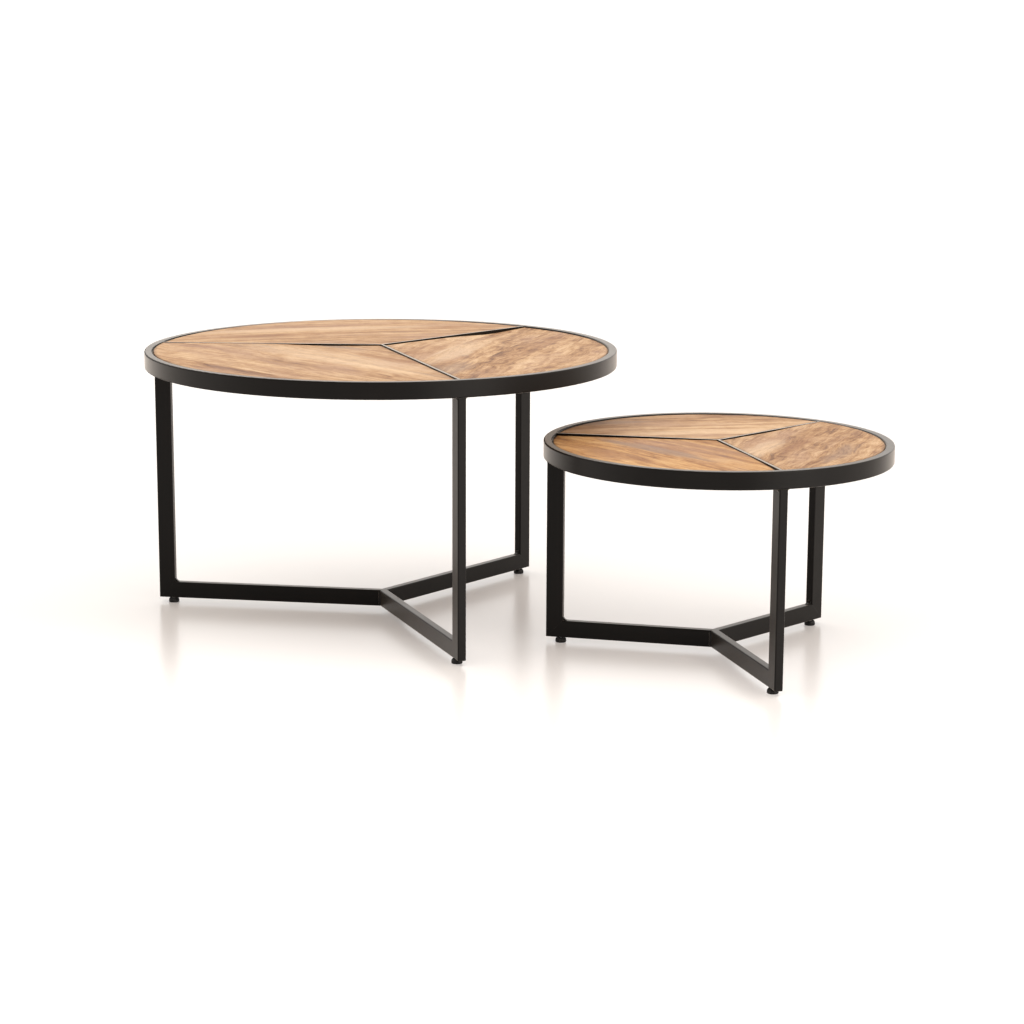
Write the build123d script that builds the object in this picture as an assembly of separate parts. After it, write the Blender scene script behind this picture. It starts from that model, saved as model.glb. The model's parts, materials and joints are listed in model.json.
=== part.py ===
from build123d import *

import os
from dataclasses import dataclass
from math import cos, radians, sin

# A nest of two round tables in millimetres, +Z up, standing on z = 0.
# Each table is a tube ring on three tube legs, tied at the floor by a Y of stretchers.
# Three wooden sectors fill the ring, parted by T-bars that line up with the legs.
# The origin is the middle of the nest's footprint. +X runs from the large table to the small one.

# The two tables
LARGE_RADIUS = 400.0
LARGE_HEIGHT = 460.0
LARGE_TURN = 171.2       # direction of the left leg, in degrees from +X
LARGE_CROWN = 6.0        # how far the T-bars rise from the rim to the hub
SMALL_RADIUS = 280.0
SMALL_HEIGHT = 350.0
SMALL_TURN = 166.0
SMALL_CROWN = 1.5
SPACING_X = 553.0        # from the large table's centre to the small one's
SPACING_Y = -273.0

# Steel tube, used for ring, legs and stretchers
TUBE_DEPTH = 28.0
TUBE_WIDTH = 14.0
TUBE_WALL = 1.2
TUBE_CORNER = 2.0
VENT_RADIUS = 3.0        # hole from the ring's bore into each leg

# Supports under the wood
BAR = 4.0                # thickness of T-bar and ledge
LEDGE_WIDTH = 16.0
FLANGE_WIDTH = 30.0
DIVIDER_DROP = 0.4       # top of the divider below the ring's top, at the rim

# Wooden panels
PANEL_DROP = 1.0         # top of the wood below the ring's top
PANEL_GAP = 1.5          # air between wood and metal
PANEL_EASE = 0.8         # eased upper edge

# Panel screws
SCREW_RADIUS = 1.75
SCREW_HOLE_RADIUS = 2.1
SCREW_LENGTH = 16.0
SCREW_TIP = 3.0
SCREW_HEAD_RADIUS = 3.5
SCREW_HEAD_HEIGHT = 2.2
SCREW_DOME = 1.5         # rounding of the head's edge
SCREW_POINT_RADIUS = 0.4
SCREW_SLOT = 0.9         # width of the cross recess
SCREW_FROM_WEB = 6.5     # from the face of a T-bar's web to the axis of a flange screw
SCREW_SHARE = 0.5        # a flange screw's place along the divider, as a share of the radius
LEDGE_SCREW_ANGLES = (-40.0, 0.0, 40.0)

# Welds
RIM_WELD = 4.0
CORNER_WELD = 6.5
HUB_WELD = 3.0
LEDGE_WELD = 2.6
WELD_SAG = 0.14          # how far the bead's face sags towards the corner, as a share of its leg

# Levelling feet
FOOT_GAP = 9.0           # from the floor to the tube
FOOT_INSET = 24.0        # from the leg's outer face to the foot's axis
GLIDE_RADIUS = 9.0
GLIDE_NECK_RADIUS = 7.4
GLIDE_EDGE = 0.8
GLIDE_RIM = 4.6          # height of the glide's straight side
GLIDE_HEIGHT = 7.5
STUD_RADIUS = 3.0
STUD_BOTTOM = 3.0
STUD_TOP = 30.0
STUD_CHAMFER = 0.7
STUD_HOLE_RADIUS = 3.4
NUT_FLATS = 10.0
NUT_HEIGHT = 5.0
NUT_CHAMFER = 1.3
NUT_CLEARANCE = 0.05     # radial running fit of stud in nut

DRILL_LENGTH = 10.0      # a hole's cutter: it passes through one wall and stops in the air beyond
HALF_BAY = 60.0          # half the angle between two legs
LEGS = {"left": 0.0, "front": 120.0, "right": 240.0}
PANELS = {"front": 60.0, "right": 180.0, "back": 300.0}


@dataclass
class Table:
    name: str
    radius: float
    height: float
    x: float
    y: float
    turn: float
    crown: float

    @property
    def support_low(self):
        """Underside of ring, ledge and T-bars."""
        return self.height - TUBE_DEPTH

    @property
    def support_top(self):
        """Upper face of ledge and T-bar flanges, on which the wood lies."""
        return self.support_low + BAR

    @property
    def bore(self):
        """Radius of the ring's inner face."""
        return self.radius - TUBE_WIDTH

    @property
    def ledge_bore(self):
        return self.bore - LEDGE_WIDTH

    @property
    def panel_radius(self):
        return self.bore - PANEL_GAP

    @property
    def foot_radius(self):
        return self.radius - FOOT_INSET


def polar(radius, angle):
    return Vector(radius, 0).rotate(Axis.Z, angle)


def strip(start, end, width, low, high):
    """A straight bar along +X, centred on y = 0."""
    middle = Pos((start + end) / 2, 0, (low + high) / 2)
    return middle * Box(end - start, width, high - low)


def disc(radius, low, high):
    return Pos(0, 0, (low + high) / 2) * Cylinder(radius, high - low)


def drill(radius, site, height):
    """A cutter for a hole through one thin wall, at a site in plan and the wall's height."""
    return Pos(site.X, site.Y, height) * Cylinder(radius, DRILL_LENGTH)


def within_bay(shape, clearance=0.0):
    """Keep what lies within half a bay of +X, less a clearance along both straight sides."""
    for side in (-1, 1):
        inward = Vector(sin(radians(HALF_BAY)), side * cos(radians(HALF_BAY)))
        shape = split(shape, Plane(origin=inward * clearance, z_dir=inward), keep=Keep.TOP)
    return shape


def tube_section(across, up):
    """The tube's wall, rounded outside and in."""
    outer = RectangleRounded(across, up, TUBE_CORNER)
    inner_corner = TUBE_CORNER - TUBE_WALL
    return outer - RectangleRounded(across - 2 * TUBE_WALL, up - 2 * TUBE_WALL, inner_corner)


def corner_mitre(table):
    """The 45 degree cut between leg and stretcher: the leg is above it."""
    return Plane(origin=(table.radius, 0, FOOT_GAP), z_dir=(1, 0, 1))


def rim_ring(table):
    centre = Pos(table.radius - TUBE_WIDTH / 2, table.height - TUBE_DEPTH / 2)
    ring = revolve(Plane.XZ * centre * tube_section(TUBE_WIDTH, TUBE_DEPTH), Axis.Z)
    for angle in LEGS.values():
        ring -= drill(VENT_RADIUS, polar(table.radius - TUBE_WIDTH / 2, angle), table.support_low)
    return ring


def leg(table):
    foot = Pos(table.radius - TUBE_DEPTH / 2, 0, FOOT_GAP)
    post = extrude(foot * tube_section(TUBE_DEPTH, TUBE_WIDTH), table.support_low - FOOT_GAP)
    return split(post, corner_mitre(table), keep=Keep.TOP)


def stretcher(table):
    end = Plane.YZ * Pos(0, FOOT_GAP + TUBE_DEPTH / 2)
    rail = extrude(end * tube_section(TUBE_WIDTH, TUBE_DEPTH), table.radius)
    rail = split(rail, corner_mitre(table), keep=Keep.BOTTOM)
    rail = within_bay(rail)
    return rail - drill(STUD_HOLE_RADIUS, Vector(table.foot_radius, 0), FOOT_GAP)


def ledge_screw_sites(table):
    """A panel's screws on the ledge, seen along the panel's own direction."""
    return [polar(table.ledge_bore + LEDGE_WIDTH / 2, angle) for angle in LEDGE_SCREW_ANGLES]


def flange_screw_site(table, side):
    """A screw on one side of a T-bar that runs along +X."""
    return Vector(table.radius * SCREW_SHARE, side * (BAR / 2 + SCREW_FROM_WEB))


def panel_screw_sites(table):
    """All screws of one panel, seen along the panel's own direction."""
    on_flanges = [flange_screw_site(table, -side).rotate(Axis.Z, side * HALF_BAY) for side in (-1, 1)]
    return ledge_screw_sites(table) + on_flanges


def ledge_ring(table):
    ring = disc(table.bore, table.support_low, table.support_top)
    ring -= disc(table.ledge_bore, table.support_low, table.support_top)
    for angle in PANELS.values():
        for site in ledge_screw_sites(table):
            ring -= drill(SCREW_HOLE_RADIUS, site.rotate(Axis.Z, angle), table.support_low)
    return ring


def divider(table):
    web_top = table.height - DIVIDER_DROP
    crest = web_top + table.crown
    side = Polyline(
        (0, table.support_top),
        (table.radius, table.support_top),
        (table.radius, web_top),
        (0, crest),
        close=True,
    )
    web = extrude(Plane.XZ * make_face(side), BAR / 2, both=True)
    web &= disc(table.bore, table.support_top, crest)
    flange = strip(0, table.radius, FLANGE_WIDTH, table.support_low, table.support_top)
    flange &= disc(table.ledge_bore, table.support_low, table.support_top)
    for side in (-1, 1):
        flange -= drill(SCREW_HOLE_RADIUS, flange_screw_site(table, side), table.support_low)
    return within_bay(web + flange)


def panel(table):
    board = disc(table.panel_radius, table.support_top, table.height - PANEL_DROP)
    board = within_bay(board, BAR / 2 + PANEL_GAP)
    board = chamfer(board.faces().sort_by(Axis.Z)[-1].edges(), PANEL_EASE)
    for site in panel_screw_sites(table):
        board -= Pos(site.X, site.Y, table.support_low) * screw_shank()
    return board


def screw_shank():
    """The shank with its pointed tip, upwards from the underside of the head."""
    straight = disc(SCREW_RADIUS, 0, SCREW_LENGTH - SCREW_TIP)
    tip_middle = SCREW_LENGTH - SCREW_TIP / 2
    tip = Pos(0, 0, tip_middle) * Cone(SCREW_RADIUS, SCREW_POINT_RADIUS, SCREW_TIP)
    return straight + tip


def screw():
    """A pan-head screw pointing up, with the underside of its head at z = 0."""
    head = disc(SCREW_HEAD_RADIUS, -SCREW_HEAD_HEIGHT, 0)
    head = fillet(head.edges().sort_by(Axis.Z)[0], SCREW_DOME)
    recess = Box(SCREW_HEAD_RADIUS, SCREW_SLOT, SCREW_HEAD_HEIGHT)
    recess += Box(SCREW_SLOT, SCREW_HEAD_RADIUS, SCREW_HEAD_HEIGHT)
    return screw_shank() + head - Pos(0, 0, -SCREW_HEAD_HEIGHT) * recess


def panel_screws(table):
    screws = []
    for angle in PANELS.values():
        for site in panel_screw_sites(table):
            spot = site.rotate(Axis.Z, angle)
            screws.append(Pos(spot.X, spot.Y, table.support_low) * screw())
    return screws


def bead(plane, size, length):
    """A weld bead in the corner between the plane's +X and +Y directions, centred along its Z."""
    sag = size * (0.5 - WELD_SAG)
    face = ThreePointArc((size, 0), (sag, sag), (0, size))
    outline = face + Polyline((0, size), (0, 0), (size, 0))
    return plane * extrude(Pos(0, 0, -length / 2) * make_face(outline), length)


def rim_welds(table):
    """Beads on both sides of each leg's top and one on its inner face, under the ledge."""
    flat = TUBE_DEPTH - 2 * TUBE_CORNER
    beads = []
    for side in (-1, 1):
        corner = (table.radius - TUBE_DEPTH / 2, side * TUBE_WIDTH / 2, table.support_low)
        outer = Plane(origin=corner, x_dir=(0, side, 0), z_dir=(-side, 0, 0))
        beads.append(bead(outer, RIM_WELD, flat))
    corner = (table.radius - TUBE_DEPTH, 0, table.support_low)
    inner = Plane(origin=corner, x_dir=(-1, 0, 0), z_dir=(0, -1, 0))
    beads.append(bead(inner, LEDGE_WELD, TUBE_WIDTH - 2 * TUBE_CORNER))
    return [Rot(0, 0, angle) * piece for angle in LEGS.values() for piece in beads]


def corner_weld(table):
    corner = (table.radius - TUBE_DEPTH, 0, FOOT_GAP + TUBE_DEPTH)
    plane = Plane(origin=corner, x_dir=(-1, 0, 0), z_dir=(0, 1, 0))
    return bead(plane, CORNER_WELD, TUBE_WIDTH - 2 * TUBE_CORNER)


def hub_weld():
    """An upright bead in the hollow between two stretchers that run at +-60 degrees."""
    hollow = TUBE_WIDTH / 2 / sin(radians(HALF_BAY))
    arms = [polar(HUB_WELD, side * HALF_BAY) + Vector(hollow, 0) for side in (-1, 1)]
    outline = make_face(Polyline((hollow, 0), arms[0], arms[1], (hollow, 0)))
    height = TUBE_DEPTH - 2 * TUBE_CORNER
    return extrude(Pos(0, 0, FOOT_GAP + TUBE_CORNER) * outline, height)


def base_welds(table):
    corners = [Rot(0, 0, angle) * corner_weld(table) for angle in LEGS.values()]
    hub = [Rot(0, 0, angle) * hub_weld() for angle in PANELS.values()]
    return corners + hub


def foot_nuts(table):
    """Hexagon nuts inside the stretchers, on the bottom wall, with two flats along the tube."""
    seat = FOOT_GAP + TUBE_WALL
    blank = RegularPolygon(NUT_FLATS / 2, 6, major_radius=False)
    nut = extrude(Pos(0, 0, seat) * blank, NUT_HEIGHT)
    corner_radius = NUT_FLATS / 2 / cos(radians(30))
    turned = disc(corner_radius, seat, seat + NUT_HEIGHT)
    nut &= chamfer(turned.edges().filter_by(GeomType.CIRCLE), NUT_CHAMFER)
    nut -= disc(STUD_RADIUS + NUT_CLEARANCE, seat, seat + NUT_HEIGHT)
    return [Rot(0, 0, angle) * Pos(table.foot_radius, 0, 0) * nut for angle in LEGS.values()]


def glide_stud(table):
    stud = disc(STUD_RADIUS, STUD_BOTTOM, STUD_TOP)
    stud = chamfer(stud.edges().sort_by(Axis.Z)[-1], STUD_CHAMFER)
    return Pos(table.foot_radius, 0, 0) * stud


def glide_base(table):
    outline = Polyline(
        (0, 0),
        (GLIDE_RADIUS - GLIDE_EDGE, 0),
        (GLIDE_RADIUS, GLIDE_EDGE),
        (GLIDE_RADIUS, GLIDE_RIM),
        (GLIDE_NECK_RADIUS, GLIDE_HEIGHT),
        (0, GLIDE_HEIGHT),
        close=True,
    )
    base = revolve(Plane.XZ * make_face(outline), Axis.Z)
    base -= disc(STUD_RADIUS, STUD_BOTTOM, GLIDE_HEIGHT)
    return Pos(table.foot_radius, 0, 0) * base


def save(table, piece_name, pieces, angle=0.0):
    """Turn the pieces to their direction, stand them at their table and write them as one node."""
    place = Pos(table.x, table.y, 0) * Rot(0, 0, table.turn + angle)
    placed = [place * piece for piece in pieces]
    shape = placed[0] if len(placed) == 1 else Compound(children=placed)
    export_step(shape, f"parts/{table.name}_{piece_name}.step")


def save_table(table):
    save(table, "rim_ring", [rim_ring(table)])
    save(table, "ledge_ring", [ledge_ring(table)])
    save(table, "rim_welds", rim_welds(table))
    save(table, "base_welds", base_welds(table))
    save(table, "panel_screws", panel_screws(table))
    save(table, "foot_nuts", foot_nuts(table))
    for side, angle in LEGS.items():
        save(table, f"leg_{side}", [leg(table)], angle)
        save(table, f"stretcher_{side}", [stretcher(table)], angle)
        save(table, f"divider_{side}", [divider(table)], angle)
        save(table, f"glide_base_{side}", [glide_base(table)], angle)
        save(table, f"glide_stud_{side}", [glide_stud(table)], angle)
    for side, angle in PANELS.items():
        save(table, f"panel_{side}", [panel(table)], angle)


os.makedirs("parts", exist_ok=True)

half_length = (LARGE_RADIUS + SPACING_X + SMALL_RADIUS) / 2
half_width = (LARGE_RADIUS - SPACING_Y + SMALL_RADIUS) / 2
large_x = LARGE_RADIUS - half_length
large_y = half_width - LARGE_RADIUS
small_x = large_x + SPACING_X
small_y = large_y + SPACING_Y
save_table(Table("large", LARGE_RADIUS, LARGE_HEIGHT, large_x, large_y, LARGE_TURN, LARGE_CROWN))
save_table(Table("small", SMALL_RADIUS, SMALL_HEIGHT, small_x, small_y, SMALL_TURN, SMALL_CROWN))
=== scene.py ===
import json
from dataclasses import dataclass
from math import asin, atan2, cos, degrees, hypot, pi, radians, sin

import bpy
from mathutils import Matrix, Vector, noise


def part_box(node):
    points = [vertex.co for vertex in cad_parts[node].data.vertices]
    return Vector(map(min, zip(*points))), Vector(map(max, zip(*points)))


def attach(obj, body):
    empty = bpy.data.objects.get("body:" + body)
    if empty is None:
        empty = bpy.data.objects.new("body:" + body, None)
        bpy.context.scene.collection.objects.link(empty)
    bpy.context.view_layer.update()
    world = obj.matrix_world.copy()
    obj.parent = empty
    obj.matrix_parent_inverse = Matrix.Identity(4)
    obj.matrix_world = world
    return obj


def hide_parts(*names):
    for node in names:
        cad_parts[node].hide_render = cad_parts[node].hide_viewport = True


# A nest of two round tables in metres: black tube frames, each with three wooden sectors in its ring.
# The frame gives every place. The wood and the weld beads are made here, and all other parts keep
# their CAD shape.

MM = 0.001
HALF_BAY = radians(60)       # from the middle of a panel to its divider

# Camera
CAMERA_PLACE = (0.0064, -4.0745, 1.0225)
CAMERA_PITCH = 11.535        # degrees down
CAMERA_ROLL = 0.26           # degrees
CAMERA_LENS = 86.34          # in millimetres, as is the sensor's width
CAMERA_SENSOR = 36
CAMERA_REACH = 200

# Places on a table
TUBE_DEPTH = 28 * MM
TUBE_WIDTH = 14 * MM
TUBE_CORNER = 2 * MM
PANEL_GAP = 1.5 * MM         # air between wood and metal
HALF_BAR = 2 * MM            # half of a divider's thickness
SIDE_GAP = HALF_BAR + PANEL_GAP
LEG_ANGLES = {"left": 0, "front": 120, "right": 240}
PANEL_ANGLES = {"front": 60, "right": 180, "back": 300}

# Wood mesh
SIDE_STEPS = 72              # points along a straight side
ARC_STEPS = 130
SIDE_ROWS = 4
EASE_STEPS = 5
EASE = 1.3 * MM              # mean radius of the worn upper edge
EASE_SPREAD = 1.2 * MM
EASE_SCALE = 38              # wear changes along the edge, per metre
UNDERSIDE_CHAMFER = 0.6 * MM
UNDERSIDE_RINGS = (0.3, 0.65, 0.95)
TOP_RINGS = 34
RING_CROWDING = 1.25         # above 1, the rings lie closer together near the edge
RING_MIDDLE = 0.55           # the rings shrink to a point at this share of the radius
HOLLOWS = 0.16 * MM          # depth of hand-planed hollows
HOLLOWS_SCALE = 22
FIRST_SEED = 3.1
SEED_STEP = 1.37

# Weld beads
RIM_BEAD = 4.0 * MM
LEDGE_BEAD = 2.6 * MM
CORNER_BEAD = 6.5 * MM
HUB_BEAD = 3.0 * MM
BEAD_STEP = 0.7 * MM         # along the bead
LEAST_BEAD_STEPS = 4
BEAD_ARC = 9                 # points across its face
BEAD_SAG = 0.12              # how far the face sags towards the corner, as a share of its leg
BEAD_RIPPLE = 0.05
BEAD_PITCH = 2.1 * MM
BEAD_LUMPS = 0.22
BEAD_LUMP_SCALE = 160
BEAD_END = 0.35              # share of its growth that a bead has at its very end
BEAD_GROWTH_STEPS = 3


@dataclass
class Table:
    name: str
    body: str
    centre: Vector
    radius: float
    height: float
    turn: float
    board_low: float         # underside of the wood
    ledge_low: float         # underside of ring and ledge
    rail_low: float          # underside of the stretchers

    @property
    def wood_radius(self):
        return self.radius - TUBE_WIDTH - PANEL_GAP


def read_table(name):
    """Centre, radius, heights and turn of a table, from its ring, its left foot and three more parts."""
    low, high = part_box(f"{name}_rim_ring")
    centre = (low + high) / 2
    foot_low, foot_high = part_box(f"{name}_glide_base_left")
    foot = (foot_low + foot_high) / 2 - centre
    return Table(
        name=name,
        body=f"{name}_table",
        centre=Vector((centre.x, centre.y, 0)),
        radius=(high.x - low.x) / 2,
        height=high.z,
        turn=degrees(atan2(foot.y, foot.x)),
        board_low=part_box(f"{name}_panel_front")[0].z,
        ledge_low=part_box(f"{name}_ledge_ring")[0].z,
        rail_low=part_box(f"{name}_stretcher_left")[0].z,
    )


def polar(radius, angle):
    return Vector((radius * cos(angle), radius * sin(angle)))


def smooth(share):
    share = min(max(share, 0), 1)
    return share * share * (3 - 2 * share)


# ---------------------------------------------------------------- wood panels

# Height of the wood over the ring's top in millimetres, at even steps from hub to rim:
# along the panel's first divider, along its middle and along its second divider.
WOOD_HEIGHTS = {
    "large_front": (
        (3.9, 1.5, 2.4, 1.2, -0.4),
        (4.0, 2.8, 1.6, 0.5, -0.5),
        (4.3, 3.1, 1.7, 0.2, -1.2),
    ),
    "large_right": (
        (4.6, 3.3, 1.8, 0.3, -1.0),
        (4.2, 2.6, 0.8, -0.6, -1.4),
        (3.7, 2.2, 0.0, -4.0, -2.0),
    ),
    "large_back": (
        (4.6, 3.2, 1.8, 0.5, -0.8),
        (4.6, 3.5, 2.5, 1.7, 1.0),
        (4.6, 3.2, 1.9, 0.5, -1.0),
    ),
    "small_front": (
        (0.4, -0.7, -1.7, -2.8, -3.8),
        (0.3, -0.1, -0.5, -0.8, -1.0),
        (0.2, -0.1, 0.2, -0.9, -3.0),
    ),
    "small_right": (
        (0.2, -0.3, -0.5, -0.8, -1.0),
        (0.1, -0.3, -0.6, -0.8, -1.0),
        (-0.2, -0.6, -1.1, 0.3, 0.1),
    ),
    "small_back": (
        (0.6, 0.3, 0.1, -0.2, -0.6),
        (0.5, 0.3, 0.0, -0.6, -1.2),
        (0.6, 0.3, -0.1, -0.8, -1.5),
    ),
}


def along_profile(profile, share):
    """A value on the smooth curve through the profile's even steps (a Catmull-Rom spline)."""
    place = min(max(share, 0), 1) * (len(profile) - 1)
    step = min(int(place), len(profile) - 2)
    near, far = profile[step], profile[step + 1]
    before = profile[step - 1] if step > 0 else 2 * near - far
    after = profile[step + 2] if step + 2 < len(profile) else 2 * far - near
    part = place - step
    square = 2 * before - 5 * near + 4 * far - after
    cube = 3 * (near - far) + after - before
    return near + 0.5 * part * (far - before + square * part + cube * part * part)


def wood_height(heights, radius, x, y):
    """Height of a panel's worn top over the ring's top, at a point seen along the panel's direction."""
    out = hypot(x, y) / radius
    turn = atan2(y, x) / HALF_BAY if out > 0 else 0
    first, middle, second = (along_profile(profile, out) for profile in heights)
    side = first if turn < 0 else second
    return (middle + (side - middle) * smooth(abs(turn))) * MM


def sector_outline(radius, gap):
    """Points round a sector that lies along +X: from its tip, along one side, round the arc and back."""
    tip = Vector((gap / sin(HALF_BAY), 0))
    half = HALF_BAY - asin(gap / radius)
    points = [tip.lerp(polar(radius, -half), step / SIDE_STEPS) for step in range(SIDE_STEPS)]
    points += [polar(radius, half * (2 * step / ARC_STEPS - 1)) for step in range(ARC_STEPS)]
    points += [polar(radius, half).lerp(tip, step / SIDE_STEPS) for step in range(SIDE_STEPS)]
    return points


def edge_distance(radius, x, y):
    """Distance from a point to the outline of the sector."""
    sides = [x * sin(HALF_BAY) + side * y * cos(HALF_BAY) - SIDE_GAP for side in (-1, 1)]
    return max(0.0, min(radius - hypot(x, y), *sides))


def panel_layers(table, heights, seed):
    """Rings of points from the middle of the underside, up the sides and back to the middle of the top."""
    radius = table.wood_radius
    low = table.board_low
    outer = sector_outline(radius, SIDE_GAP)
    inner = sector_outline(radius - EASE, SIDE_GAP + EASE)
    middle = Vector((radius * RING_MIDDLE, 0))
    worn = []
    for point in outer:
        wear = noise.noise(Vector((point.x, point.y, seed)) * EASE_SCALE)
        worn.append(EASE + EASE_SPREAD * wear)

    def top(point):
        hollow = noise.noise(Vector((point.x, point.y, seed)) * HOLLOWS_SCALE)
        return table.height + wood_height(heights, radius, point.x, point.y) + HOLLOWS * (hollow - 1)

    def inset(index, distance):
        return outer[index].lerp(inner[index], distance / EASE)

    count = range(len(outer))
    layers = []
    for share in UNDERSIDE_RINGS:
        layers.append([(*middle.lerp(inset(i, UNDERSIDE_CHAMFER), share), low) for i in count])
    layers.append([(*inset(i, UNDERSIDE_CHAMFER), low) for i in count])
    for row in range(SIDE_ROWS + 1):
        layer = []
        for i in count:
            foot = low + UNDERSIDE_CHAMFER
            head = top(outer[i]) - worn[i]
            layer.append((*outer[i], foot + (head - foot) * row / SIDE_ROWS))
        layers.append(layer)
    for step in range(1, EASE_STEPS + 1):
        angle = pi / 2 * step / EASE_STEPS
        layer = []
        for i in count:
            point = inset(i, worn[i] * (1 - cos(angle)))
            layer.append((*point, top(outer[i]) - worn[i] * (1 - sin(angle))))
        layers.append(layer)
    for step in range(1, TOP_RINGS):
        share = 1 - (step / TOP_RINGS) ** RING_CROWDING
        layer = []
        for i in count:
            point = middle.lerp(inset(i, worn[i]), share)
            layer.append((*point, top(point)))
        layers.append(layer)
    return (*middle, low), layers, (*middle, top(middle))


def closed_mesh(name, first, layers, last):
    """A closed mesh from a first point, rings of equal length and a last point."""
    size = len(layers[0])
    points = [first] + [point for layer in layers for point in layer] + [last]
    faces = []
    for i in range(size):
        following = (i + 1) % size
        faces.append((0, 1 + following, 1 + i))
        for row in range(len(layers) - 1):
            near = 1 + row * size
            far = near + size
            faces.append((near + i, near + following, far + following, far + i))
        end = 1 + (len(layers) - 1) * size
        faces.append((end + i, end + following, len(points) - 1))
    mesh = bpy.data.meshes.new(name)
    mesh.from_pydata(points, [], faces)
    mesh.validate()
    mesh.shade_smooth()
    return mesh


def linked(mesh):
    """An object for a mesh, in the scene and under the mesh's name."""
    made = bpy.data.objects.new(mesh.name, mesh)
    bpy.context.scene.collection.objects.link(made)
    return made


def wood_panel(table, side, seed):
    """One worn wooden sector in place, with its distance from the edge kept for the material."""
    heights = WOOD_HEIGHTS[f"{table.name}_{side}"]
    mesh = closed_mesh(f"{table.name}_wood_{side}", *panel_layers(table, heights, seed))
    rim = mesh.attributes.new("rim_distance", "FLOAT", "POINT")
    distances = [edge_distance(table.wood_radius, vertex.co.x, vertex.co.y) for vertex in mesh.vertices]
    rim.data.foreach_set("value", distances)
    turn = radians(table.turn + PANEL_ANGLES[side])
    mesh.transform(Matrix.Translation(table.centre) @ Matrix.Rotation(turn, 4, "Z"))
    return linked(mesh)


# ---------------------------------------------------------------- weld beads

def bead_rings(origin, first, second, size, length, seed):
    """Sections of a bead that fills the corner between two directions, along their normal."""
    run = first.cross(second).normalized()
    steps = max(LEAST_BEAD_STEPS, round(length / BEAD_STEP))
    rings = []
    for step in range(steps + 1):
        place = length * (step / steps - 0.5)
        lump = noise.noise(Vector((place * BEAD_LUMP_SCALE, seed, 0)))
        ripple = abs(sin(pi * place / BEAD_PITCH))
        grown = smooth(min(step, steps - step) / BEAD_GROWTH_STEPS + BEAD_END)
        leg = size * grown * (1 + BEAD_LUMPS * lump + BEAD_RIPPLE * ripple)
        ring = [origin + run * place]
        for index in range(BEAD_ARC):
            share = index / (BEAD_ARC - 1)
            sag = BEAD_SAG * sin(pi * share)
            ring.append(ring[0] + first * leg * (1 - share - sag) + second * leg * (share - sag))
        rings.append(ring)
    return rings


def bead(origin, first, second, size, length, seed):
    rings = bead_rings(Vector(origin), Vector(first), Vector(second), size, length, seed)
    centres = [sum(ring, Vector()) / len(ring) for ring in (rings[0], rings[-1])]
    return closed_mesh("bead", centres[0], rings, centres[1])


def joined(name, parts):
    """One object from several closed meshes."""
    points, faces = [], []
    for mesh in parts:
        start = len(points)
        points += [vertex.co.copy() for vertex in mesh.vertices]
        faces += [[start + index for index in face.vertices] for face in mesh.polygons]
        bpy.data.meshes.remove(mesh)
    whole = bpy.data.meshes.new(name)
    whole.from_pydata(points, [], faces)
    whole.shade_smooth()
    return linked(whole)


def rim_beads(table):
    """Both sides and the inner face of each leg's top."""
    across = TUBE_DEPTH - 2 * TUBE_CORNER
    for side in (1, -1):
        corner = (table.radius - TUBE_DEPTH / 2, side * TUBE_WIDTH / 2, table.ledge_low)
        yield corner, (0, side, 0), (0, 0, -1), RIM_BEAD, across
    corner = (table.radius - TUBE_DEPTH, 0, table.ledge_low)
    yield corner, (-1, 0, 0), (0, 0, -1), LEDGE_BEAD, TUBE_WIDTH - 2 * TUBE_CORNER


def corner_beads(table):
    """On each stretcher, against the inner face of its leg."""
    corner = (table.radius - TUBE_DEPTH, 0, table.rail_low + TUBE_DEPTH)
    yield corner, (-1, 0, 0), (0, 0, 1), CORNER_BEAD, TUBE_WIDTH - 2 * TUBE_CORNER


def hub_beads(table):
    """Upright in the hollow between two stretchers at +-60 degrees."""
    hollow = TUBE_WIDTH / 2 / sin(HALF_BAY)
    corner = (hollow, 0, table.rail_low + TUBE_DEPTH / 2)
    first, second = ((*polar(1, side * HALF_BAY), 0) for side in (-1, 1))
    yield corner, first, second, HUB_BEAD, TUBE_DEPTH - 2 * TUBE_CORNER


# The beads of each group: what makes them, and the directions in which they repeat
BEADS = {
    "rim": ((rim_beads, LEG_ANGLES),),
    "base": ((corner_beads, LEG_ANGLES), (hub_beads, PANEL_ANGLES)),
}


def weld_beads(table, name, kinds):
    """One object of lumpy beads."""
    parts = []
    for maker, directions in kinds:
        for angle in directions.values():
            for index, row in enumerate(maker(table)):
                mesh = bead(*row, seed=angle + index)
                turn = Matrix.Rotation(radians(table.turn + angle), 4, "Z")
                mesh.transform(Matrix.Translation(table.centre) @ turn)
                parts.append(mesh)
    return joined(f"{table.name}_{name}", parts)


# ---------------------------------------------------------------- node graphs

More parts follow.
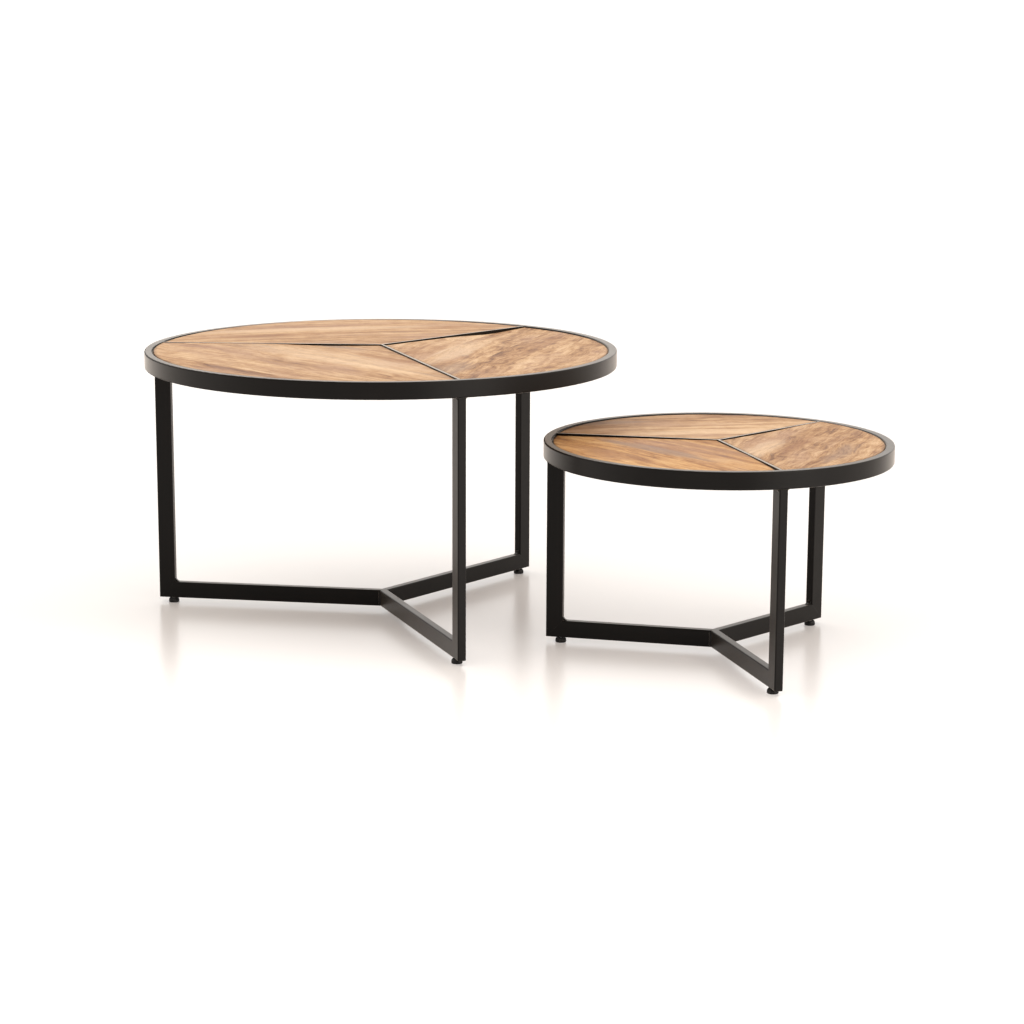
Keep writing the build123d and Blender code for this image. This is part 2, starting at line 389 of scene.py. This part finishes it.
class Graph:
    """The nodes of a material or a world, with a short call for each kind used here."""

    def __init__(self, owner):
        self.owner = owner
        owner.use_nodes = True
        self.tree = owner.node_tree
        self.tree.nodes.clear()

    def node(self, kind, inputs=None, **settings):
        made = self.tree.nodes.new("ShaderNode" + kind)
        for key, value in settings.items():
            setattr(made, key, value)
        for key, value in (inputs or {}).items():
            self.put(made.inputs[key], value)
        return made

    def put(self, socket, value):
        if isinstance(value, bpy.types.NodeSocket):
            self.tree.links.new(value, socket)
        else:
            socket.default_value = value

    def math(self, operation, first, second):
        return self.node("Math", {0: first, 1: second}, operation=operation).outputs[0]

    def centred(self, value, amount):
        """A noise of mean 0.5 as a swing to both sides of zero."""
        return self.math("MULTIPLY", self.math("SUBTRACT", value, 0.5), amount)

    def plus(self, value, other, amount):
        """A value and a share of another one."""
        return self.math("ADD", value, self.math("MULTIPLY", other, amount))

    def dot(self, first, second):
        return self.node("VectorMath", {0: first, 1: second}, operation="DOT_PRODUCT").outputs["Value"]

    def noise(self, place, scale=1.0, detail=2.0, roughness=0.5):
        inputs = {"Vector": place, "Scale": scale, "Detail": detail, "Roughness": roughness}
        return self.node("TexNoise", inputs).outputs["Fac"]

    def span(self, value, low, high, to_low=0.0, to_high=1.0, kind="SMOOTHSTEP"):
        """A value's way from low to high, as a way from to_low to to_high."""
        inputs = {"Value": value, "From Min": low, "From Max": high, "To Min": to_low, "To Max": to_high}
        return self.node("MapRange", inputs, interpolation_type=kind).outputs[0]

    def mix(self, factor, first, second):
        """A colour mix, whose sockets for colours are the seventh and eighth."""
        inputs = {0: factor, 6: first, 7: second}
        return self.node("Mix", inputs, data_type="RGBA").outputs[2]

    def ramp(self, factor, stops):
        made = self.node("ValToRGB", {"Fac": factor})
        band = made.color_ramp
        while len(band.elements) < len(stops):
            band.elements.new(0.5)
        for element, (place, colour) in zip(band.elements, stops):
            element.position = place
            element.color = colour
        return made.outputs["Color"]

    def bump(self, height, distance, strength):
        inputs = {"Height": height, "Distance": distance, "Strength": strength}
        return self.node("Bump", inputs).outputs["Normal"]

    def place(self):
        return self.node("TexCoord").outputs["Object"]

    def part(self, vector, axis):
        return self.node("SeparateXYZ", {0: vector}).outputs[axis]

    def finish(self, **inputs):
        """The surface shader, with its inputs by name, and the output."""
        shader = self.node("BsdfPrincipled", {key.replace("_", " "): value for key, value in inputs.items()})
        self.tree.links.new(shader.outputs["BSDF"], self.node("OutputMaterial").inputs["Surface"])
        return self.owner


# ---------------------------------------------------------------- wood

@dataclass
class WoodLook:
    shades: tuple            # from the darkest to the lightest wood
    figure: float            # strength of the ripple across the grain and of the painted sheen bands


LARGE_SHADES = (
    (0.0, (0.08, 0.034, 0.014, 1)),
    (0.3, (0.22, 0.110, 0.048, 1)),
    (0.5, (0.35, 0.203, 0.100, 1)),
    (0.7, (0.46, 0.295, 0.165, 1)),
    (1.0, (0.58, 0.415, 0.260, 1)),
)
SMALL_SHADES = (
    (0.0, (0.07, 0.027, 0.010, 1)),
    (0.3, (0.21, 0.092, 0.032, 1)),
    (0.5, (0.35, 0.180, 0.069, 1)),
    (0.7, (0.47, 0.270, 0.116, 1)),
    (1.0, (0.58, 0.385, 0.195, 1)),
)
WOOD_LOOKS = {
    "large_front": WoodLook(LARGE_SHADES, 0.8),
    "large_right": WoodLook(LARGE_SHADES, 1.5),
    "large_back": WoodLook(LARGE_SHADES, 0.6),
    "small_front": WoodLook(SMALL_SHADES, 0.6),
    "small_right": WoodLook(LARGE_SHADES, 1.3),
    "small_back": WoodLook(LARGE_SHADES, 0.6),
}
ROSE = (0.35, 0.220, 0.155, 1)
GREY = (0.25, 0.18, 0.145, 1)
BROWN = (0.27, 0.135, 0.065, 1)
PALE = (0.70, 0.54, 0.38, 1)
FLECK = (0.22, 0.11, 0.055, 1)
PORE = (0.13, 0.07, 0.035, 1)
GRIME = (0.16, 0.09, 0.05, 1)

# Stains and streaks: colour, strength, place from the table's centre, half length along the grain, half width
STAINS = {
    "large_front": (
        (GREY, 0.60, (-0.080, -0.005), 0.070, 0.012),
        (BROWN, 0.45, (0.035, -0.165), 0.080, 0.017),
        (PALE, 0.40, (-0.060, -0.150), 0.200, 0.035),
        (BROWN, 0.30, (-0.200, -0.230), 0.120, 0.016),
    ),
    "large_right": (
        (GREY, 0.55, (0.125, -0.255), 0.075, 0.022),
        (BROWN, 0.35, (0.075, -0.060), 0.110, 0.020),
        (PALE, 0.45, (0.130, -0.060), 0.130, 0.022),
        (BROWN, 0.30, (0.260, 0.020), 0.140, 0.014),
    ),
    "large_back": (
        (BROWN, 0.50, (0.105, 0.280), 0.090, 0.024),
        (PALE, 0.40, (-0.120, 0.230), 0.200, 0.022),
        (BROWN, 0.40, (-0.240, 0.120), 0.110, 0.020),
    ),
    "small_front": (
        (GREY, 0.65, (-0.110, -0.080), 0.110, 0.014),
        (BROWN, 0.40, (-0.060, -0.030), 0.120, 0.010),
        (BROWN, 0.40, (-0.180, -0.110), 0.090, 0.018),
    ),
    "small_right": (
        (BROWN, 0.55, (0.125, -0.030), 0.090, 0.010),
        (GREY, 0.45, (0.180, -0.110), 0.080, 0.016),
        (PALE, 0.40, (0.060, -0.080), 0.080, 0.020),
    ),
    "small_back": (
        (GREY, 0.55, (-0.178, 0.172), 0.060, 0.016),
        (BROWN, 0.35, (-0.210, 0.112), 0.050, 0.014),
        (BROWN, 0.35, (0.020, 0.150), 0.060, 0.008),
        (PALE, 0.35, (0.000, 0.080), 0.120, 0.022),
    ),
}
STAIN_SPAN = (2.2, 0.1)      # from outside a stain to inside it, in squares of its half sizes
STAIN_RAGGED = 5.0

GRAIN_SKEW = 83              # degrees from a panel's own direction to its grain
BOARD_WIDTH = 0.088
BOARD_SHIFT = 7.0            # the most that one board's grain is shifted against another's
BOARD_LIFT = 3.0

# Noises in the wood: features per metre along the grain, across it and upwards, then detail and roughness
WANDER = ((3.0, 7.0, 5.0), 2.0, 0.5)
RIPPLE = ((18.0, 16.0, 10.0), 1.5, 0.5)
BANDS = ((1.6, 19.0, 9.0), 2.5, 0.55)
STREAKS = ((6.0, 70.0, 30.0), 5.0, 0.66)
FIBRES = ((24.0, 380.0, 150.0), 5.0, 0.7)
PORES = ((70.0, 1500.0, 400.0), 1.0, 0.5)
FLECKS = ((26.0, 120.0, 60.0), 4.0, 0.65)
# Chatoyance: the shimmer of light across the grain, painted into the colour as fixed bands (a painted sheen)
PAINTED_SHEEN_BANDS = ((36.0, 13.0, 10.0), 5.0, 0.7)
BLUSH = ((4.0, 11.0, 8.0), 3.0, 0.6)

WANDER_WIDTH = 0.055         # how far the grain wanders sideways, in metres
RIPPLE_WIDTH = 0.022
FIBRE_SWAY = 0.3             # share of the ripple that fibres and pores follow

# How much each noise changes the tone, from 0, the darkest shade, to 1
MEAN_TONE = 0.56
BOARD_TONE = 0.10
BAND_TONE = 0.9
STREAK_TONE = 1.35
FIBRE_TONE = 0.95
FLECK_TONE = 0.8
PAINTED_SHEEN_TONE = 0.6

# Masks: where each begins and where it is full, and its strength
BLUSH_SPAN = (0.45, 0.7, 0.0, 0.5)
FLECK_SPAN = (0.58, 0.72)
DARK_BAND_SPAN = (0.62, 0.42)
FLECK_STRENGTH = 0.6
PORE_SPAN = (0.62, 0.72)
PORE_STRENGTH = 0.45
GRIME_SPAN = (0.006, 0.0, 0.0, 0.55)     # in metres from the panel's edge
GRIME_RAGGED = 0.010

WOOD_FIBRE_RELIEF = 0.35
WOOD_PORE_RELIEF = -0.25
WOOD_BUMP = (0.5 * MM, 0.6)
WOOD_ROUGHNESS = 0.42
WOOD_STREAK_ROUGHNESS = 0.25
WOOD_PORE_ROUGHNESS = 0.1
WOOD_SPECULAR = 0.2


def stain(graph, along, across, ragged, length, width, place):
    """A soft-ended streak along the grain: 1 in its middle and 0 far from it, with a ragged border."""
    far = graph.math("DIVIDE", graph.math("SUBTRACT", along, place.x), length)
    near = graph.math("DIVIDE", graph.math("SUBTRACT", across, place.y), width)
    squares = graph.math("ADD", graph.math("MULTIPLY", far, far), graph.math("MULTIPLY", near, near))
    return graph.span(graph.math("ADD", squares, ragged), *STAIN_SPAN)


def wood_material(table, side, seed):
    """Edge-glued boards with bands, streaks, fibres, pores and stains along one panel's grain, and painted
    sheen bands across it.
    """
    panel = f"{table.name}_{side}"
    look = WOOD_LOOKS[panel]
    graph = Graph(bpy.data.materials.new(f"{table.name}_wood_{side}"))
    grain = radians(table.turn + PANEL_ANGLES[side] + GRAIN_SKEW)
    offset = graph.node("VectorMath", {0: graph.place(), 1: table.centre}, operation="SUBTRACT").outputs[0]
    turned = graph.node("Mapping", {"Vector": offset, "Rotation": (0, 0, -grain)}).outputs[0]
    along, across, up = (graph.part(turned, axis) for axis in "XYZ")

    board = graph.math("FLOOR", graph.math("DIVIDE", graph.math("ADD", across, seed), BOARD_WIDTH), 0)
    chance = graph.node("TexWhiteNoise", {"W": board}, noise_dimensions="1D").outputs["Value"]
    shifted = graph.plus(along, chance, BOARD_SHIFT)
    lifted = graph.plus(up, chance, BOARD_LIFT)

    def grain_noise(kind, row):
        """Noise drawn out along the grain, in rows that follow the given one."""
        sizes, detail, roughness = kind
        places = enumerate(zip((shifted, row, lifted), sizes))
        scaled = {axis: graph.math("MULTIPLY", value, size) for axis, (value, size) in places}
        place = graph.node("CombineXYZ", scaled).outputs[0]
        return graph.noise(place, detail=detail, roughness=roughness)

    wandered = graph.math("ADD", across, graph.centred(grain_noise(WANDER, across), WANDER_WIDTH))
    sway = graph.centred(grain_noise(RIPPLE, across), RIPPLE_WIDTH * look.figure)
    rippled = graph.math("ADD", wandered, sway)
    straight = graph.plus(wandered, sway, FIBRE_SWAY)

    bands = grain_noise(BANDS, rippled)
    streaks = grain_noise(STREAKS, rippled)
    fibres = grain_noise(FIBRES, straight)
    pores = grain_noise(PORES, straight)
    flecks = grain_noise(FLECKS, rippled)
    # painted sheen: bands of shimmer across the grain, put into the colour
    painted_sheen = grain_noise(PAINTED_SHEEN_BANDS, across)
    blush = grain_noise(BLUSH, rippled)

    tone = graph.centred(bands, BAND_TONE)
    tone = graph.math("ADD", tone, graph.centred(streaks, STREAK_TONE))
    tone = graph.math("ADD", tone, graph.centred(fibres, FIBRE_TONE))
    tone = graph.math("ADD", tone, graph.centred(flecks, FLECK_TONE))
    # the painted sheen bands darken and lighten the tone, more where the figure is strong
    tone = graph.math("ADD", tone, graph.centred(painted_sheen, PAINTED_SHEEN_TONE * look.figure))
    tone = graph.plus(tone, chance, BOARD_TONE)
    colour = graph.ramp(graph.math("ADD", tone, MEAN_TONE), look.shades)
    colour = graph.mix(graph.span(blush, *BLUSH_SPAN), colour, ROSE)
    dark = graph.math("MULTIPLY", graph.span(flecks, *FLECK_SPAN), graph.span(bands, *DARK_BAND_SPAN))
    colour = graph.mix(graph.math("MULTIPLY", dark, FLECK_STRENGTH), colour, FLECK)

    ragged = graph.centred(streaks, STAIN_RAGGED)
    back = Matrix.Rotation(-grain, 2)
    for shade, strength, place, length, width in STAINS[panel]:
        mask = stain(graph, along, across, ragged, length, width, back @ Vector(place))
        colour = graph.mix(graph.math("MULTIPLY", mask, strength), colour, shade)

    pits = graph.span(pores, *PORE_SPAN)
    colour = graph.mix(graph.math("MULTIPLY", pits, PORE_STRENGTH), colour, PORE)
    rim = graph.node("Attribute", attribute_name="rim_distance").outputs["Fac"]
    edge = graph.math("ADD", rim, graph.centred(streaks, GRIME_RAGGED))
    colour = graph.mix(graph.span(edge, *GRIME_SPAN), colour, GRIME)

    relief = graph.plus(graph.plus(streaks, fibres, WOOD_FIBRE_RELIEF), pits, WOOD_PORE_RELIEF)
    rough = graph.plus(graph.math("MULTIPLY", streaks, WOOD_STREAK_ROUGHNESS), pits, WOOD_PORE_ROUGHNESS)
    return graph.finish(
        Base_Color=colour,
        Roughness=graph.math("ADD", rough, WOOD_ROUGHNESS),
        Specular_IOR_Level=WOOD_SPECULAR,
        Normal=graph.bump(relief, *WOOD_BUMP),
    )


# ---------------------------------------------------------------- metal and plastic

COATS = {
    "powder_coat": {"base": (0.0050, 0.0042, 0.0037), "rub": 0.3, "topped": False},
    "powder_coat_rubbed": {"base": (0.0060, 0.0050, 0.0045), "rub": 0.8, "topped": True},
}
SMUDGED = 1.7                # how much lighter a smudge is than the base
SMUDGE_SPAN = (0.3, 0.75)
COAT_ROUGHNESS_SPAN = (0.25, 0.75, 0.27, 0.37)
EDGE_RADIUS = 1.2 * MM
EDGE_SPAN = (0.995, 0.80)    # cosine between the face and its rounded edge
SCUFF_SPAN = (0.42, 0.62)
SCUFF = (0.16, 0.155, 0.15, 1)
LEVEL_SPAN = (0.9, 0.98)     # how far a face looks up
WORN_SPAN = (0.2, 0.5, 0.6, 1.0)
WORN_STEEL = (0.24, 0.215, 0.185, 1)

NYLON = (0.014, 0.014, 0.015, 1)
NYLON_MARK = (0.045, 0.043, 0.04, 1)
ZINC = (0.56, 0.57, 0.60, 1)
ZINC_BLOOM = (0.50, 0.47, 0.40, 1)


def powder_coat(name, base, rub, topped):
    """Satin black powder coat: orange peel, faint smudges and edges with lighter scuffs.
    A topped one is worn down to dull steel on its upper faces."""
    graph = Graph(bpy.data.materials.new(name))
    place = graph.place()
    peel = graph.noise(place, scale=850.0)
    grit = graph.noise(place, scale=2600.0, detail=1.0)
    smudges = graph.noise(place, scale=7.0, detail=4.0, roughness=0.6)
    scuffs = graph.noise(place, scale=55.0, detail=5.0, roughness=0.7)
    bevel = graph.node("Bevel", {"Radius": EDGE_RADIUS}, samples=4).outputs[0]
    straight = graph.node("NewGeometry").outputs["Normal"]
    edges = graph.span(graph.dot(bevel, straight), *EDGE_SPAN)
    edges = graph.math("MULTIPLY", edges, graph.span(scuffs, *SCUFF_SPAN))
    light = (*(shade * SMUDGED for shade in base), 1)
    colour = graph.mix(graph.span(smudges, *SMUDGE_SPAN), (*base, 1), light)
    colour = graph.mix(graph.math("MULTIPLY", edges, rub), colour, SCUFF)
    if topped:
        level = graph.span(graph.part(straight, "Z"), *LEVEL_SPAN)
        worn = graph.math("MULTIPLY", level, graph.span(scuffs, *WORN_SPAN))
        colour = graph.mix(worn, colour, WORN_STEEL)
    return graph.finish(
        Base_Color=colour,
        Roughness=graph.span(smudges, *COAT_ROUGHNESS_SPAN, kind="LINEAR"),
        Specular_IOR_Level=0.27,
        Sheen_Weight=0.6,
        Sheen_Roughness=0.3,
        Sheen_Tint=(1.0, 0.90, 0.80, 1),
        Normal=graph.bump(graph.plus(peel, grit, 0.25), 0.05 * MM, 0.5),
    )


def glide_plastic():
    """Matt black nylon with a fine grain and paler marks."""
    graph = Graph(bpy.data.materials.new("glide_plastic"))
    place = graph.place()
    grain = graph.noise(place, scale=1800.0)
    marks = graph.noise(place, scale=160.0, detail=4.0, roughness=0.65)
    return graph.finish(
        Base_Color=graph.mix(graph.span(marks, 0.5, 0.75), NYLON, NYLON_MARK),
        Roughness=graph.span(marks, 0.3, 0.7, 0.5, 0.68, kind="LINEAR"),
        Specular_IOR_Level=0.4,
        Normal=graph.bump(grain, 0.04 * MM, 0.6),
    )


def zinc_steel():
    """Zinc-plated steel with fine crystals and a yellowish bloom."""
    graph = Graph(bpy.data.materials.new("zinc_steel"))
    place = graph.place()
    crystals = graph.noise(place, scale=420.0, detail=3.0, roughness=0.6)
    bloom = graph.noise(place, scale=70.0, detail=4.0, roughness=0.6)
    return graph.finish(
        Base_Color=graph.mix(graph.span(bloom, 0.45, 0.75), ZINC, ZINC_BLOOM),
        Metallic=1.0,
        Roughness=graph.span(crystals, 0.3, 0.7, 0.26, 0.46, kind="LINEAR"),
        Normal=graph.bump(crystals, 0.03 * MM, 0.5),
    )


def paint_cad_parts(record, nodes):
    """Every CAD node that shows gets the material of its slot."""
    coats = {name: powder_coat(name, **values) for name, values in COATS.items()}
    coats["glide_plastic"] = glide_plastic()
    coats["zinc_steel"] = zinc_steel()
    for row in record["subparts"]:
        if row["material_slot"] in coats:
            slots = nodes[row["node"]].data.materials
            slots.clear()
            slots.append(coats[row["material_slot"]])
    return coats


# ---------------------------------------------------------------- stage

FLOOR_HALF = 45
FLOOR_SHADES = ((0.52, 0.50, 0.485, 1), (0.54, 0.525, 0.51, 1))
FLOOR_GLOW = (1.0, 0.955, 0.930, 1)
FLOOR_GLOW_SPAN = (0.1, -0.5, 0.16, 0.38)        # from behind to the front, in metres, and its strength: a painted light, brighter in front
FLOOR_ROUGHNESS_SPAN = (0.3, 0.7, 0.20, 0.26)

# The studio's light: a direction, the cosines to it where the change starts and ends, and both values
SHADE = ((-0.25, -1, 0), 0.25, 0.8, 0.0, 0.85)
LOW_DOWN = ((0, 0, 1), 0.85, 0.35, 0.0, 1.0)
LAMP = ((0.68, -0.70, 0.22), 0.88, 0.99, 0.0, 2.2)
CEILING = ((0, 0.1, 1), 0.45, 0.95, 0.0, 0.9)
WARMTH = ((0, 1, 0), 0.9, 0.4, 0.0, 1.0)
COOL_LIGHT = (1.0, 1.0, 0.995, 1)
WARM_LIGHT = (1.0, 0.94, 0.88, 1)


def camera():
    data = bpy.data.cameras.new("camera")
    data.lens = CAMERA_LENS
    data.sensor_width = CAMERA_SENSOR
    data.clip_end = CAMERA_REACH
    view = bpy.data.objects.new("camera", data)
    tilt = Matrix.Rotation(radians(90 - CAMERA_PITCH), 4, "X")
    roll = Matrix.Rotation(radians(CAMERA_ROLL), 4, "Z")
    view.matrix_world = Matrix.Translation(CAMERA_PLACE) @ tilt @ roll
    bpy.context.scene.collection.objects.link(view)
    bpy.context.scene.camera = view


def floor_material():
    """Pale and softly glossy, and glowing a little from within: a painted light that grows towards the front
    and fades the shadows on it.
    """
    graph = Graph(bpy.data.materials.new("floor"))
    cloud = graph.noise(graph.place(), scale=0.9, detail=3.0)
    depth = graph.part(graph.place(), "Y")
    return graph.finish(
        Base_Color=graph.mix(graph.span(cloud, 0.3, 0.7), *FLOOR_SHADES),
        Roughness=graph.span(cloud, *FLOOR_ROUGHNESS_SPAN, kind="LINEAR"),
        Specular_IOR_Level=0.6,
        Emission_Color=FLOOR_GLOW,
        # painted light: the floor glows, more towards the front
        Emission_Strength=graph.span(depth, *FLOOR_GLOW_SPAN),
        Normal=graph.bump(cloud, 0.2 * MM, 0.2),
    )


def floor():
    mesh = bpy.data.meshes.new("floor")
    corners = [(x * FLOOR_HALF, y * FLOOR_HALF, 0) for x, y in ((-1, -1), (1, -1), (1, 1), (-1, 1))]
    mesh.from_pydata(corners, [], [(0, 1, 2, 3)])
    mesh.materials.append(floor_material())
    ground = linked(mesh)


def studio():
    """Bright all round, dimmer low down in front, brighter overhead, with a soft lamp to the front right."""
    world = bpy.data.worlds.new("studio")
    bpy.context.scene.world = world
    graph = Graph(world)
    seen = graph.node("TexCoord").outputs["Generated"]

    def toward(direction, *span):
        return graph.span(graph.dot(seen, Vector(direction).normalized()), *span)

    shade = graph.math("MULTIPLY", toward(*SHADE), toward(*LOW_DOWN))
    light = graph.math("SUBTRACT", 1.0, shade)
    for source in (LAMP, CEILING):
        light = graph.math("ADD", light, toward(*source))
    tint = graph.mix(toward(*WARMTH), COOL_LIGHT, WARM_LIGHT)
    background = graph.node("Background", {"Color": tint, "Strength": light})
    graph.node("OutputWorld", {"Surface": background.outputs[0]})


# ---------------------------------------------------------------- the scene

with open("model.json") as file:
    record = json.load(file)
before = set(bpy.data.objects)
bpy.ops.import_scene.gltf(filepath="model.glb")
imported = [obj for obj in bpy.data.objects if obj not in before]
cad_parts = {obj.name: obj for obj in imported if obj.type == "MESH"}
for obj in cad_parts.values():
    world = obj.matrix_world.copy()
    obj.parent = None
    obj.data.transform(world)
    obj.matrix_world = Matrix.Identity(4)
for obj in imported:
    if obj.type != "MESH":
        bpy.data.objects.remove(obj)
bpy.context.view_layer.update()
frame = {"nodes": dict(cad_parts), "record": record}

camera()
floor()
studio()
bpy.context.scene.view_settings.view_transform = "Standard"
bpy.context.scene.view_settings.look = "Medium High Contrast"

coats = paint_cad_parts(frame["record"], frame["nodes"])
seed = FIRST_SEED
for table in (read_table("large"), read_table("small")):
    for side in PANEL_ANGLES:
        seed += SEED_STEP
        panel = wood_panel(table, side, seed)
        panel.data.materials.append(wood_material(table, side, seed))
        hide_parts(f"{table.name}_panel_{side}")
        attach(panel, table.body)
    for name, kinds in BEADS.items():
        beads = weld_beads(table, f"{name}_beads", kinds)
        beads.data.materials.append(coats["powder_coat"])
        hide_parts(f"{table.name}_{name}_welds")
        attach(beads, table.body)
